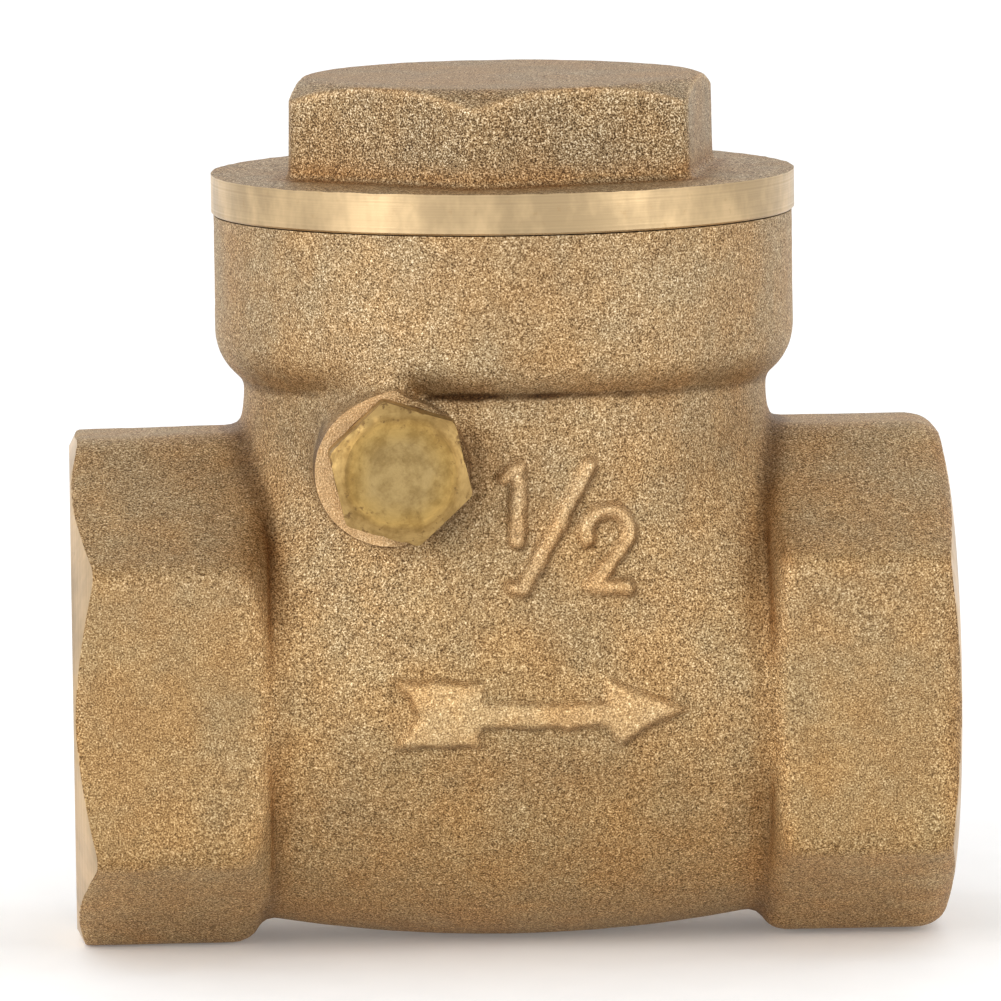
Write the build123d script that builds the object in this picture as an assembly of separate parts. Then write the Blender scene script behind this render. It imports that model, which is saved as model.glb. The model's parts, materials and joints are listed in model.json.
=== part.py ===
from build123d import *
from math import sqrt
import os

os.makedirs("parts", exist_ok=True)

# Swing check valve for a half-inch pipe line. Millimetres, +Z up.
# Origin: on the valve's centre line, level with the flats it stands on.
# +X is the direction of flow, +Z points to the bonnet, -Y is the marked side.

# ---- driving dimensions ----
LENGTH = 48.0                  # face to face, inlet end to outlet end
END_ACROSS_FLATS = 27.5        # spanner size of the hexagonal ends
END_HEIGHT = 28.1              # the hexagon's top and bottom corners are cut off flat
END_BLOCK_LENGTH = 10.2        # each hexagonal end, along the flow axis
END_CHAMFER_START_R = 13.6     # machined cone at the mouth starts at this radius
END_CHAMFER_SLOPE = 0.6        # axial depth of that cone per millimetre of radius
SHOULDER_ROUND = 2.2           # rounding of the inner end of each hexagon

BARREL_MIDDLE_R = 14.05        # swollen middle of the body, about the flow axis
BARREL_END_R = 12.7            # the same where it meets the hexagonal ends

THREAD_MINOR_R = 9.3155        # half-inch parallel pipe thread, drilled to its crests
THREAD_LENGTH = 10.5
PORT_MOUTH_R = 10.7            # countersink at each mouth
PORT_MOUTH_DEPTH = 0.8

SEAT_BORE_R = 6.0
SEAT_LIP_R = 7.0
SEAT_BASE_R = 8.2
SEAT_X = -8.6                  # plane of the seat lip

NECK_R = 14.35                 # neck under the bonnet collar
COLLAR_R = 15.9
COLLAR_UNDERCUT_Z = 30.8       # the collar widens from the neck between these heights
COLLAR_BOTTOM_Z = 32.7
COLLAR_TOP_Z = 40.05
COLLAR_BORE_R = 13.5
COLLAR_LEDGE_Z = 33.6          # floor of the threaded collar bore

CHAMBER_R = 11.7               # upright chamber that the clapper swings in
CHAMBER_BARREL_R = 10.6        # its lower part, about the flow axis
CHAMBER_BARREL_START_X = -10.4
CHAMBER_BARREL_END_X = 11.0
OUTLET_PASSAGE_R = 8.9

GASKET_INNER_R = 13.65
GASKET_OUTER_R = 15.0
GASKET_THICKNESS = 0.8
GASKET_GAP = 0.05

CAP_FLANGE_R = 16.0
CAP_FLANGE_THICKNESS = 2.2
CAP_JOINT_GAP = 0.1            # between the collar and the bonnet flange
CAP_ACROSS_FLATS = 22.0
CAP_TOP_Z = 47.6
CAP_TURN = -9.65               # degrees, where the hexagon stops when tight
CAP_THREAD_R = 13.45
CAP_THREAD_END_Z = 33.9
CAP_HOLLOW_R = 10.9
CAP_HOLLOW_TOP_Z = 43.6
CAP_CORNER_CHAMFER = 1.1

PIN_X = -6.35                  # hinge pin axis, parallel to Y
PIN_Z = 27.5
PIN_R = 1.25
PIN_HALF_LENGTH = 12.6
HINGE_CLEARANCE = 0.05         # radial, in every running fit

BOSS_X = -6.9                  # cast bosses round the hinge plugs
BOSS_Z = 27.85
BOSS_R = 4.4
BOSS_FACE_Y = 14.9

PLUG_ACROSS_FLATS = 7.0
PLUG_HEAD = 2.2
PLUG_TURN = 44.5               # degrees, the stop position of the front plug's hexagon
PLUG_THREAD_R = 3.0
PLUG_SHANK_LENGTH = 4.4
PLUG_SOCKET_DEPTH = 2.6
SEAL_OUTER_R = 3.5
SEAL_THICKNESS = 0.5

HANGER_HUB_R = 2.5
HANGER_HUB_HALF_LENGTH = 6.0
HANGER_BACK_X = -5.2           # face of the arm that looks at the disc
HANGER_THICKNESS = 2.0
HANGER_EYE_R = 3.4
HANGER_TOP_HALF_WIDTH = 4.2
HANGER_EYE_HALF_WIDTH = 3.0
HANGER_RIB = 1.6

DISC_R = 8.3
DISC_PLATE_FRONT_X = -7.2
DISC_PLATE_BACK_X = -5.5
DISC_RIM_FRONT_X = -8.2
DISC_RIM_INNER_R = 7.6
SEAT_DISC_R = 7.5
SEAT_DISC_FRONT_X = -8.5
DISC_STUD_R = 1.6
DISC_STUD_END_X = 0.0
FRONT_STUD_R = 1.2
FRONT_STUD_END_X = -11.0

SEAT_WASHER_R = 4.0
SEAT_WASHER_THICKNESS = 0.8
SEAT_NUT_ACROSS_FLATS = 5.0
SEAT_NUT_THICKNESS = 1.6

HANGER_WASHER_R = 3.0
HANGER_WASHER_THICKNESS = 0.5
HANGER_WASHER_X = -2.9
HANGER_NUT_ACROSS_FLATS = 5.5
HANGER_NUT_THICKNESS = 1.9

ARROW_HEIGHT = 0.45            # how far the cast flow arrow stands off the body

# ---- derived dimensions ----
FLOW_Z = END_HEIGHT / 2
END_X = LENGTH / 2
BLOCK_X = END_X - END_BLOCK_LENGTH
CAP_FLANGE_Z = COLLAR_TOP_Z + CAP_JOINT_GAP
CAP_HEX_Z = CAP_FLANGE_Z + CAP_FLANGE_THICKNESS
STUD_CLEARANCE = 0.03
HIDDEN = 0.5                   # how far joined shapes run into each other


def rod(axis_plane, radius, start, end, x=0.0, y=0.0):
    """A round bar along the plane's normal, from start to end."""
    return extrude(axis_plane.offset(start) * Pos(x, y) * Circle(radius), amount=end - start)


def x_rod(radius, start, end, z=FLOW_Z, y=0.0):
    """A round bar parallel to the flow axis."""
    return rod(Plane.YZ, radius, start, end, y, z)


def y_rod(radius, start, end, x, z):
    """A round bar parallel to the hinge pin."""
    return rod(Plane.XZ, radius, -end, -start, x, z)


def flow_revolve(points):
    """Turn (x, radius) points about the flow axis."""
    face = make_face(Polyline(*points, close=True))
    solid = revolve(Plane.XZ * face, axis=Axis.X)
    return Pos(0, 0, FLOW_Z) * solid


def bonnet_revolve(points):
    """Turn (radius, z) points about the bonnet axis."""
    face = make_face(Polyline(*points, close=True))
    return revolve(Plane.XZ * face, axis=Axis.Z)


def hexagon(across_flats, turn=0.0):
    """A hexagon sketch with its first corner turned from the sketch's X axis."""
    return Rot(0, 0, turn) * RegularPolygon(across_flats / sqrt(3), 6)


def barrel():
    """The swollen middle of the casting."""
    left = (-BLOCK_X - HIDDEN, BARREL_END_R)
    right = (BLOCK_X + HIDDEN, BARREL_END_R)
    outline = ThreePointArc(left, (0, BARREL_MIDDLE_R), right)
    base = Polyline(right, (right[0], 0), (left[0], 0), left)
    face = make_face(outline + base)
    return Pos(0, 0, FLOW_Z) * revolve(Plane.XZ * face, axis=Axis.X)


def neck_and_collar():
    """The round neck, and the collar that takes the bonnet."""
    return bonnet_revolve([
        (0, FLOW_Z),
        (NECK_R, FLOW_Z),
        (NECK_R, COLLAR_UNDERCUT_Z),
        (COLLAR_R, COLLAR_BOTTOM_Z),
        (COLLAR_R, COLLAR_TOP_Z),
        (0, COLLAR_TOP_Z),
    ])


def end_block(side):
    """One hexagonal end: side is -1 at the inlet and 1 at the outlet."""
    hexagon_sketch = hexagon(END_ACROSS_FLATS, 90)
    section = hexagon_sketch & Rectangle(END_ACROSS_FLATS * 2, END_HEIGHT)
    start = BLOCK_X if side > 0 else -END_X
    block = extrude(Plane.YZ.offset(start) * Pos(0, FLOW_Z) * section, amount=END_BLOCK_LENGTH)
    corner_r = END_ACROSS_FLATS / sqrt(3) + 1
    cone_depth = (corner_r - END_CHAMFER_START_R) * END_CHAMFER_SLOPE
    limits = flow_revolve([
        (side * END_X, 0),
        (side * END_X, END_CHAMFER_START_R),
        (side * (END_X - cone_depth), corner_r),
        (side * (BLOCK_X + SHOULDER_ROUND), corner_r),
        (side * BLOCK_X, corner_r - SHOULDER_ROUND - 1),
        (side * BLOCK_X, 0),
    ])
    return block & limits


def pin_bosses():
    """The cast bosses that the two hinge plugs screw into."""
    return y_rod(BOSS_R, -BOSS_FACE_Y, BOSS_FACE_Y, BOSS_X, BOSS_Z)


def flow_arrow():
    """The raised arrow that points from inlet to outlet."""
    tail, neck, head, tip = -7.0, -2.3, 4.4, 8.7
    half_tail, half_shaft, half_head, notch = 2.0, 0.65, 2.0, 1.1
    upper = [
        (tail + notch, 0),
        (tail, half_tail),
        (neck, half_tail - 0.2),
        (neck, half_shaft),
        (head, half_shaft),
        (head, half_head),
        (tip, 0),
    ]
    lower = [(x, -height) for x, height in reversed(upper[1:-1])]
    sketch = make_face(Polyline(*upper, *lower, close=True))
    front = BARREL_MIDDLE_R + ARROW_HEIGHT
    return extrude(Plane.XZ.offset(front - 2) * Pos(0, FLOW_Z) * sketch, amount=2)


def port_cut(side):
    """The hole for the pipe thread at one end, drilled to the thread's crests."""
    return flow_revolve([
        (side * (END_X + 1), 0),
        (side * (END_X + 1), PORT_MOUTH_R),
        (side * END_X, PORT_MOUTH_R),
        (side * (END_X - PORT_MOUTH_DEPTH), THREAD_MINOR_R),
        (side * (END_X - THREAD_LENGTH), THREAD_MINOR_R),
        (side * (END_X - THREAD_LENGTH), 0),
    ])


def chamber_cut():
    """The room that the clapper swings in, less the seat that stands into it."""
    upright = rod(Plane.XY, CHAMBER_R, FLOW_Z, COLLAR_LEDGE_Z)
    lower = x_rod(CHAMBER_BARREL_R, CHAMBER_BARREL_START_X, CHAMBER_BARREL_END_X)
    seat = flow_revolve([
        (-CHAMBER_R - HIDDEN, 0),
        (-CHAMBER_R - HIDDEN, SEAT_BASE_R),
        (CHAMBER_BARREL_START_X, SEAT_BASE_R),
        (SEAT_X, SEAT_LIP_R),
        (SEAT_X, 0),
    ])
    return upright + lower - seat


def bonnet_bore_cut():
    """The collar's bore, with the recess for the gasket in its top face."""
    recess_z = COLLAR_TOP_Z - GASKET_THICKNESS
    return bonnet_revolve([
        (0, COLLAR_LEDGE_Z),
        (COLLAR_BORE_R, COLLAR_LEDGE_Z),
        (COLLAR_BORE_R, recess_z),
        (GASKET_OUTER_R + GASKET_GAP, recess_z),
        (GASKET_OUTER_R + GASKET_GAP, COLLAR_TOP_Z + 1),
        (0, COLLAR_TOP_Z + 1),
    ])


def plug_hole_cut(side):
    """The tapped hole of one hinge plug, with the recess for its seal."""
    outside = BOSS_FACE_Y + 1
    recess = BOSS_FACE_Y - SEAL_THICKNESS
    tapped = sorted((side * 6.0, side * outside))
    recessed = sorted((side * recess, side * outside))
    hole = y_rod(PLUG_THREAD_R, *tapped, PIN_X, PIN_Z)
    return hole + y_rod(SEAL_OUTER_R + STUD_CLEARANCE, *recessed, PIN_X, PIN_Z)


def valve_body():
    body = barrel() + neck_and_collar() + pin_bosses() + flow_arrow()
    for side in (-1, 1):
        body += end_block(side)
    body -= chamber_cut()
    body -= bonnet_bore_cut()
    body -= x_rod(SEAT_BORE_R, -END_X, SEAT_X)
    body -= x_rod(OUTLET_PASSAGE_R, 0, END_X)
    for side in (-1, 1):
        body -= port_cut(side)
        body -= plug_hole_cut(side)
    return body


def bonnet_cap():
    """The screwed bonnet: flange, hexagon on top, threaded skirt below, hollow inside."""
    skirt_and_flange = bonnet_revolve([
        (0, CAP_THREAD_END_Z),
        (CAP_THREAD_R - CAP_CORNER_CHAMFER / 2, CAP_THREAD_END_Z),
        (CAP_THREAD_R, CAP_THREAD_END_Z + CAP_CORNER_CHAMFER / 2),
        (CAP_THREAD_R, CAP_FLANGE_Z),
        (CAP_FLANGE_R, CAP_FLANGE_Z),
        (CAP_FLANGE_R, CAP_HEX_Z),
        (0, CAP_HEX_Z),
    ])
    sketch = hexagon(CAP_ACROSS_FLATS, CAP_TURN - 90)
    head = extrude(Plane.XY.offset(CAP_HEX_Z - HIDDEN) * sketch, amount=CAP_TOP_Z - CAP_HEX_Z + HIDDEN)
    corner_r = CAP_ACROSS_FLATS / sqrt(3)
    crown = bonnet_revolve([
        (0, CAP_HEX_Z - HIDDEN),
        (corner_r + 1, CAP_HEX_Z - HIDDEN),
        (corner_r + 1, CAP_TOP_Z - CAP_CORNER_CHAMFER),
        (corner_r, CAP_TOP_Z - CAP_CORNER_CHAMFER),
        (CAP_ACROSS_FLATS / 2 - 0.3, CAP_TOP_Z),
        (0, CAP_TOP_Z),
    ])
    hollow = rod(Plane.XY, CAP_HOLLOW_R, CAP_THREAD_END_Z - 1, CAP_HOLLOW_TOP_Z)
    return skirt_and_flange + (head & crown) - hollow


def ring(inner, outer, plane, start, end, x=0.0, y=0.0):
    """A flat ring along the plane's normal."""
    return rod(plane, outer, start, end, x, y) - rod(plane, inner, start - 1, end + 1, x, y)


def bonnet_gasket():
    bottom = COLLAR_TOP_Z - GASKET_THICKNESS + GASKET_GAP
    top = CAP_FLANGE_Z - GASKET_GAP
    return ring(GASKET_INNER_R, GASKET_OUTER_R, Plane.XY, bottom, top)


def hinge_plug(side):
    """One hexagon-headed plug: side is -1 at the front and 1 at the rear."""
    shank_start = BOSS_FACE_Y - PLUG_SHANK_LENGTH
    head_sketch = hexagon(PLUG_ACROSS_FLATS, PLUG_TURN)
    corner_r = PLUG_ACROSS_FLATS / sqrt(3)
    face = BOSS_FACE_Y + PLUG_HEAD
    outline = [
        (0, shank_start),
        (PLUG_THREAD_R - STUD_CLEARANCE, shank_start),
        (PLUG_THREAD_R - STUD_CLEARANCE, BOSS_FACE_Y),
        (corner_r + 0.1, BOSS_FACE_Y),
        (corner_r + 0.1, face - 0.45),
        (PLUG_ACROSS_FLATS / 2 - 0.2, face),
        (0, face),
    ]
    turned = revolve(make_face(Polyline(*outline, close=True)), axis=Axis.Y)
    head = extrude(Plane.XZ.offset(-face) * head_sketch, amount=PLUG_HEAD)
    shank = extrude(Plane.XZ.offset(-BOSS_FACE_Y) * Circle(PLUG_THREAD_R), amount=PLUG_SHANK_LENGTH)
    plug = turned & (head + shank)
    socket_end = shank_start + PLUG_SOCKET_DEPTH
    socket = extrude(Plane.XZ.offset(-socket_end) * Circle(PIN_R + STUD_CLEARANCE), amount=PLUG_SOCKET_DEPTH)
    plug -= socket
    if side < 0:
        plug = mirror(plug, about=Plane.XZ)
    return Pos(PIN_X, 0, PIN_Z) * plug


def plug_seal(side):
    """The sealing ring under one plug's head."""
    start, end = sorted((side * (BOSS_FACE_Y - SEAL_THICKNESS), side * BOSS_FACE_Y))
    outer = y_rod(SEAL_OUTER_R, start, end, PIN_X, PIN_Z)
    return outer - y_rod(PLUG_THREAD_R, start - 1, end + 1, PIN_X, PIN_Z)


def hinge_pin():
    pin = y_rod(PIN_R, -PIN_HALF_LENGTH, PIN_HALF_LENGTH, PIN_X, PIN_Z)
    return chamfer(pin.edges().filter_by(GeomType.CIRCLE), 0.25)


def disc_hanger():
    """The arm: a hub on the pin, a tapering web, and the eye that carries the disc."""
    hub = y_rod(HANGER_HUB_R, -HANGER_HUB_HALF_LENGTH, HANGER_HUB_HALF_LENGTH, PIN_X, PIN_Z)
    web_sketch = make_face(Polyline(
        (-HANGER_TOP_HALF_WIDTH, PIN_Z),
        (HANGER_TOP_HALF_WIDTH, PIN_Z),
        (HANGER_EYE_HALF_WIDTH, FLOW_Z),
        (-HANGER_EYE_HALF_WIDTH, FLOW_Z),
        close=True,
    ))
    front_x = HANGER_BACK_X + HANGER_THICKNESS
    web = extrude(Plane.YZ.offset(HANGER_BACK_X) * web_sketch, amount=HANGER_THICKNESS)
    eye = x_rod(HANGER_EYE_R, HANGER_BACK_X, front_x)
    rib_length = PIN_Z - FLOW_Z - HANGER_EYE_R
    rib_z = FLOW_Z + HANGER_EYE_R + rib_length / 2
    rib = Pos(front_x, 0, rib_z) * Box(HANGER_RIB, HANGER_RIB, rib_length)
    arm = hub + web + eye + rib
    arm -= y_rod(PIN_R + HINGE_CLEARANCE, -END_X, END_X, PIN_X, PIN_Z)
    return arm - x_rod(DISC_STUD_R + HINGE_CLEARANCE, HANGER_BACK_X - 1, front_x + 1)


def disc_holder():
    """The brass disc: a rimmed plate with a stud on each side."""
    return flow_revolve([
        (FRONT_STUD_END_X, 0),
        (FRONT_STUD_END_X, FRONT_STUD_R - 0.2),
        (FRONT_STUD_END_X + 0.2, FRONT_STUD_R),
        (DISC_PLATE_FRONT_X, FRONT_STUD_R),
        (DISC_PLATE_FRONT_X, DISC_RIM_INNER_R),
        (DISC_RIM_FRONT_X, DISC_RIM_INNER_R),
        (DISC_RIM_FRONT_X, DISC_R),
        (DISC_PLATE_BACK_X - 0.4, DISC_R),
        (DISC_PLATE_BACK_X, DISC_R - 0.4),
        (DISC_PLATE_BACK_X, DISC_STUD_R),
        (DISC_STUD_END_X - 0.3, DISC_STUD_R),
        (DISC_STUD_END_X, DISC_STUD_R - 0.3),
        (DISC_STUD_END_X, 0),
    ])


def flow_ring(inner, outer, start, end):
    """A flat ring about the flow axis."""
    return ring(inner, outer, Plane.YZ, start, end, 0, FLOW_Z)


def seat_disc():
    return flow_ring(FRONT_STUD_R + STUD_CLEARANCE, SEAT_DISC_R, SEAT_DISC_FRONT_X, DISC_PLATE_FRONT_X)


def seat_disc_washer():
    start = SEAT_DISC_FRONT_X - SEAT_WASHER_THICKNESS
    return flow_ring(FRONT_STUD_R + STUD_CLEARANCE, SEAT_WASHER_R, start, SEAT_DISC_FRONT_X)


def flow_nut(across_flats, bore_r, start, thickness):
    """A hexagon nut about the flow axis, with its corners chamfered."""
    sketch = hexagon(across_flats, 90)
    nut = extrude(Plane.YZ.offset(start) * Pos(0, FLOW_Z) * sketch, amount=thickness)
    corner_r = across_flats / sqrt(3)
    chamfer_depth = 0.3
    limits = flow_revolve([
        (start, 0),
        (start, across_flats / 2),
        (start + chamfer_depth, corner_r + 0.01),
        (start + thickness - chamfer_depth, corner_r + 0.01),
        (start + thickness, across_flats / 2),
        (start + thickness, 0),
    ])
    return (nut & limits) - x_rod(bore_r, start - 1, start + thickness + 1)


def seat_disc_nut():
    start = SEAT_DISC_FRONT_X - SEAT_WASHER_THICKNESS - SEAT_NUT_THICKNESS
    return flow_nut(SEAT_NUT_ACROSS_FLATS, FRONT_STUD_R + STUD_CLEARANCE, start, SEAT_NUT_THICKNESS)


def hanger_washer():
    end = HANGER_WASHER_X + HANGER_WASHER_THICKNESS
    return flow_ring(DISC_STUD_R + STUD_CLEARANCE, HANGER_WASHER_R, HANGER_WASHER_X, end)


def hanger_nut():
    start = HANGER_WASHER_X + HANGER_WASHER_THICKNESS
    return flow_nut(HANGER_NUT_ACROSS_FLATS, DISC_STUD_R + STUD_CLEARANCE, start, HANGER_NUT_THICKNESS)


PARTS = {
    "valve_body": valve_body(),
    "bonnet_cap": bonnet_cap(),
    "bonnet_gasket": bonnet_gasket(),
    "front_hinge_plug": hinge_plug(-1),
    "rear_hinge_plug": hinge_plug(1),
    "front_plug_seal": plug_seal(-1),
    "rear_plug_seal": plug_seal(1),
    "hinge_pin": hinge_pin(),
    "disc_hanger": disc_hanger(),
    "disc_holder": disc_holder(),
    "seat_disc": seat_disc(),
    "seat_disc_washer": seat_disc_washer(),
    "seat_disc_nut": seat_disc_nut(),
    "hanger_washer": hanger_washer(),
    "hanger_nut": hanger_nut(),
}

for name, shape in PARTS.items():
    export_step(shape, f"parts/{name}.step")
    size = shape.bounding_box().size
    print(name, len(shape.solids()), round(shape.volume, 1), [round(v, 2) for v in size])
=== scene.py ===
import json
from math import cos, pi, radians, sin, sqrt, tau

import bmesh
import bpy
import numpy as np
from mathutils import Matrix, Vector


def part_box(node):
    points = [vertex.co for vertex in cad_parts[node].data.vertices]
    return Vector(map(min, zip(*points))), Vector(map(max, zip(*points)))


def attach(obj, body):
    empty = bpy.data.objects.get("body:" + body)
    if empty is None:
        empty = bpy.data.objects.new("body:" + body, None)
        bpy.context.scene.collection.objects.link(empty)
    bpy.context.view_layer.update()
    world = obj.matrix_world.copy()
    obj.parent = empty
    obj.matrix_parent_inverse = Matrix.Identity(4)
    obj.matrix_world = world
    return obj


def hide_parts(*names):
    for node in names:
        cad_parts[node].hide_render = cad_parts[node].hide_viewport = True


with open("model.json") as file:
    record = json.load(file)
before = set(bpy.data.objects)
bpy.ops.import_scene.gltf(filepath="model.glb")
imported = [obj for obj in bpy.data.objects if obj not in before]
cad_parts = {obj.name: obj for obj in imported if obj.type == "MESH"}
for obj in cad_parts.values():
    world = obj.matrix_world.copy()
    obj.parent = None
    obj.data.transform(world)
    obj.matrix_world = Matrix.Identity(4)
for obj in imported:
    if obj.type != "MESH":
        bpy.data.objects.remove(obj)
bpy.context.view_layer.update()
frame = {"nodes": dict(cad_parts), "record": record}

# Shapes are worked out in millimetres, in the CAD's frame. Meshes are made in metres.
MM = 0.001


def node_box(name):
    """Lowest and highest corner of a CAD node, in millimetres."""
    low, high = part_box(name)
    return np.array(low) / MM, np.array(high) / MM


# ---- places taken from the frame ----
mounts = {mount["name"]: mount for mount in frame["record"]["mounts"]}
body_high = node_box("valve_body")[1]
cap_low, cap_high = node_box("bonnet_cap")
gasket_low, gasket_high = node_box("bonnet_gasket")
plug_low, plug_high = node_box("front_hinge_plug")
seal_low, seal_high = node_box("front_plug_seal")
seat_disc_low = node_box("seat_disc")[0]
PORT_MINOR_R = mounts["inlet_port"]["dims"]["r_mm"]
FLOW_Z = mounts["inlet_port"]["pos_m"][2] / MM
END_X = body_high[0]
COLLAR_TOP = body_high[2]
CAP_TOP = cap_high[2]
CAP_BOTTOM = cap_low[2]
RIM_R = cap_high[0]
PIN_X, PIN_Z = (seal_low[0] + seal_high[0]) / 2, (seal_low[2] + seal_high[2]) / 2
BOSS_FACE = -seal_low[1]
PLUG_FACE = -plug_low[1]
PLUG_END = -plug_high[1]
GASKET_FLOOR = gasket_low[2] - 0.05
GASKET_R = gasket_high[0]

# ---- driving sizes of the visible shapes, in millimetres ----
INLET, OUTLET = -1, 1                   # the ends, by the sign of their x
SIN_30, COS_30 = 0.5, 0.866             # to three places
END_FLATS = 27.5
END_HEIGHT = 2 * FLOW_Z
END_SPARE = 0.15                        # the blocks are cast this far past the end
OUTLET_LIFT = 0.14                      # the outlet's hexagon sits this much higher
BLOCK_LENGTH = {INLET: 10.6, OUTLET: 10.25}
BLOCK_TRIM_R, BLOCK_TRIM = 13.7, {INLET: 0.5, OUTLET: 0.2}          # start, slope
FOOT_TRIM, FOOT_TRIM_TOP, FOOT_TRIM_SPAN = 0.6, 3.5, 2.5            # shortens the inlet's foot
CHAMFER = {INLET: (13.3, 0.5), OUTLET: (12.5, 0.22)}                # start radius, slope
BARREL_R, BARREL_DROP, BARREL_HALF = 14.05, 1.35, 14.3
NECK_R, NECK_FOOT, COLLAR_R = 14.35, 1.5, 15.9
UNDERCUT_Z, UNDERCUT_RISE = 30.95, 0.4  # the rise is at the front and the rear
UNDERCUT_TILT, UNDERCUT_TILT_DROP = radians(44), radians(13)
CAST_SPARE, BOSS_SPARE = 0.8, 0.3       # metal left on a casting where it is machined
BOSS_X, BOSS_Z, BOSS_R, BOSS_SQUASH = -6.735, 27.42, 4.185, 1.03
SEAL_DEPTH, SEAL_RECESS_R, SPOT_FACE_R = 0.5, 3.53, 4.7
PLUG_HOLE_R, PLUG_THREAD_R, PLUG_ROOT_R, PLUG_PITCH = 3, 2.97, 2.6, 0.8
PIN_SOCKET_R, PIN_SOCKET_DEPTH = 1.28, 2.6
PORT_MAJOR_R, PORT_PITCH, PORT_DEPTH, PORT_MOUTH_R = 10.4775, 1.814, 10.5, 10.7
SEAT_BORE_R, SEAT_LIP_R = 6.0, 7.0
SEAT_X = seat_disc_low[0] - 0.1
SEAT_CONE = 0.832, 0.555                # its normal, across and along the flow
SEAT_FACE_R = SEAT_LIP_R + 0.4          # how far out the seat's face is turned
CHAMBER_R, CHAMBER_BARREL_R, OUTLET_R = 11.7, 10.6, 8.9
CHAMBER_X, CHAMBER_HALF = 0.3, 10.7     # middle and half length of its lower part
COLLAR_BORE_R, COLLAR_ROOT_R, COLLAR_LEDGE = 13.5, 14.3, 33.6
GASKET_RECESS_R = GASKET_R + 0.05
CAP_THREAD_R, BONNET_PITCH, CAP_HOLLOW_R, CAP_HOLLOW_TOP = 13.45, 1.5, 10.9, 43.6
RIM_BOTTOM, RIM_TOP = COLLAR_TOP + 0.07, 42.35
CAP_FLATS, CAP_TURN = 22.0, radians(-9.65)
CAP_DRAFT, CAP_FLATS_Z = 0.02, 45       # the hexagon's taper, and where it measures CAP_FLATS
CROWN_R, CROWN_WEAR_R = 10.85, 10.75
CROWN_DROP = 0.015                      # room for the unevenness under the CAD's height
PLUG_FLATS, PLUG_TURN = 7.0, radians(43)
PLUG_BEVEL, PLUG_BEVEL_SLOPE = 0.5, 0.4
RELIEF = 0.55                           # height of the raised marks
STROKE_HALF = 0.42                      # half the width of a numeral's stroke
NET_STEP = 0.38

# How strongly each place is lightened, from 0 to 1: a painted highlight, partly wear, on the marks'
# tops; a painted highlight on the ends' inner edges; the crown's rubbed, brighter edge.
MARK_LIGHT, SHOULDER_LIGHT, CROWN_LIGHT = 0.53, 0.2, 0.53
TOP_PAINTED_SHADE = 0.22                         # painted shade that darkens the top of the cap


# ---- distance fields: negative inside the solid ----
def soft_min(a, b, fillet):
    """Join two solids with a fillet of about the given size."""
    near = np.maximum(fillet - np.abs(a - b), 0) / fillet
    return np.minimum(a, b) - near * near * (fillet / 4)


def soft_max(a, b, rounding):
    """What two solids share, its edge rounded by about the given size."""
    return -soft_min(-a, -b, rounding)


def lattice_noise(points, size, seed):
    """Smooth random values from -1 to 1 that change over about size millimetres."""
    grid = np.random.RandomState(seed).uniform(-1, 1, (24, 24, 24)).astype(np.float32)
    place = points / size + 240.37
    cell = np.floor(place).astype(int)
    part = place - cell
    part = part * part * (3 - 2 * part)
    total = 0
    for corner in np.ndindex(2, 2, 2):
        weight = np.prod(np.where(corner, part, 1 - part), axis=-1)
        i, j, k = np.moveaxis((cell + corner) % 24, -1, 0)
        total = total + weight * grid[i, j, k]
    return total


def trunk(p):
    """The barrel, the neck and the collar, without the ends."""
    x, y, z = p[..., 0], p[..., 1], p[..., 2] - FLOW_Z
    radial = np.hypot(x, y)
    barrel = np.hypot(y, z) - (BARREL_R - BARREL_DROP * (x / BARREL_HALF) ** 2)
    neck = soft_max(radial - NECK_R, -NECK_FOOT - z, rounding=3.0)
    body = soft_min(barrel, neck, fillet=3.6)

    front = np.minimum(y * y / NECK_R**2, 1)
    tilt = UNDERCUT_TILT - UNDERCUT_TILT_DROP * front
    above = p[..., 2] - UNDERCUT_Z - UNDERCUT_RISE * front
    undercut = np.sin(tilt) * (radial - NECK_R) - np.cos(tilt) * above
    collar = soft_max(radial - COLLAR_R, undercut, rounding=1.0)
    collar = soft_max(collar, UNDERCUT_Z - 2 - p[..., 2], rounding=0.5)
    return soft_min(body, collar, fillet=0.35)


def inner_end(p):
    """How far a point is past the inner end of its block, which is trimmed at the corners."""
    outlet = p[..., 0] > 0
    length = np.where(outlet, BLOCK_LENGTH[OUTLET], BLOCK_LENGTH[INLET])
    trim = np.where(outlet, BLOCK_TRIM[OUTLET], BLOCK_TRIM[INLET])
    past = np.maximum(np.hypot(p[..., 1], p[..., 2] - FLOW_Z) - BLOCK_TRIM_R, 0)
    low = np.clip((FOOT_TRIM_TOP - p[..., 2]) / FOOT_TRIM_SPAN, 0, 1)
    below = np.where(outlet, 0, FOOT_TRIM * low)
    return END_X - length + trim * past + below - np.abs(p[..., 0])


def ends(p):
    """The two hexagonal ends, their corners rounded as cast."""
    x, y, z = p[..., 0], p[..., 1], p[..., 2] - FLOW_Z
    outlet = x > 0
    level = z - np.where(outlet, OUTLET_LIFT, 0)
    # The top flat stands a little higher: evenly at the outlet, growing inwards at the inlet.
    rise = np.where(outlet, 0.08, 0.2 * np.clip((x + END_X) / BLOCK_LENGTH[INLET], 0, 1))
    facet = SIN_30 * np.abs(y) + COS_30 * np.abs(level) - END_FLATS / 2
    flats = soft_max(np.abs(y) - END_FLATS / 2, facet, rounding=0.8)
    flats = soft_max(flats, np.maximum(level - rise, -level) - END_HEIGHT / 2, rounding=0.6)
    blocks = soft_max(flats, inner_end(p), rounding=1.3)
    past = np.abs(x) - END_X - END_SPARE
    return soft_max(blocks, past, rounding=np.where(outlet, 2.1, 0.9))


def boss_side(p):
    """Distance from the side of the bosses that hold the plugs, which are a little oval."""
    return np.hypot(p[..., 0] - BOSS_X, BOSS_SQUASH * (p[..., 2] - BOSS_Z)) - BOSS_R


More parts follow.
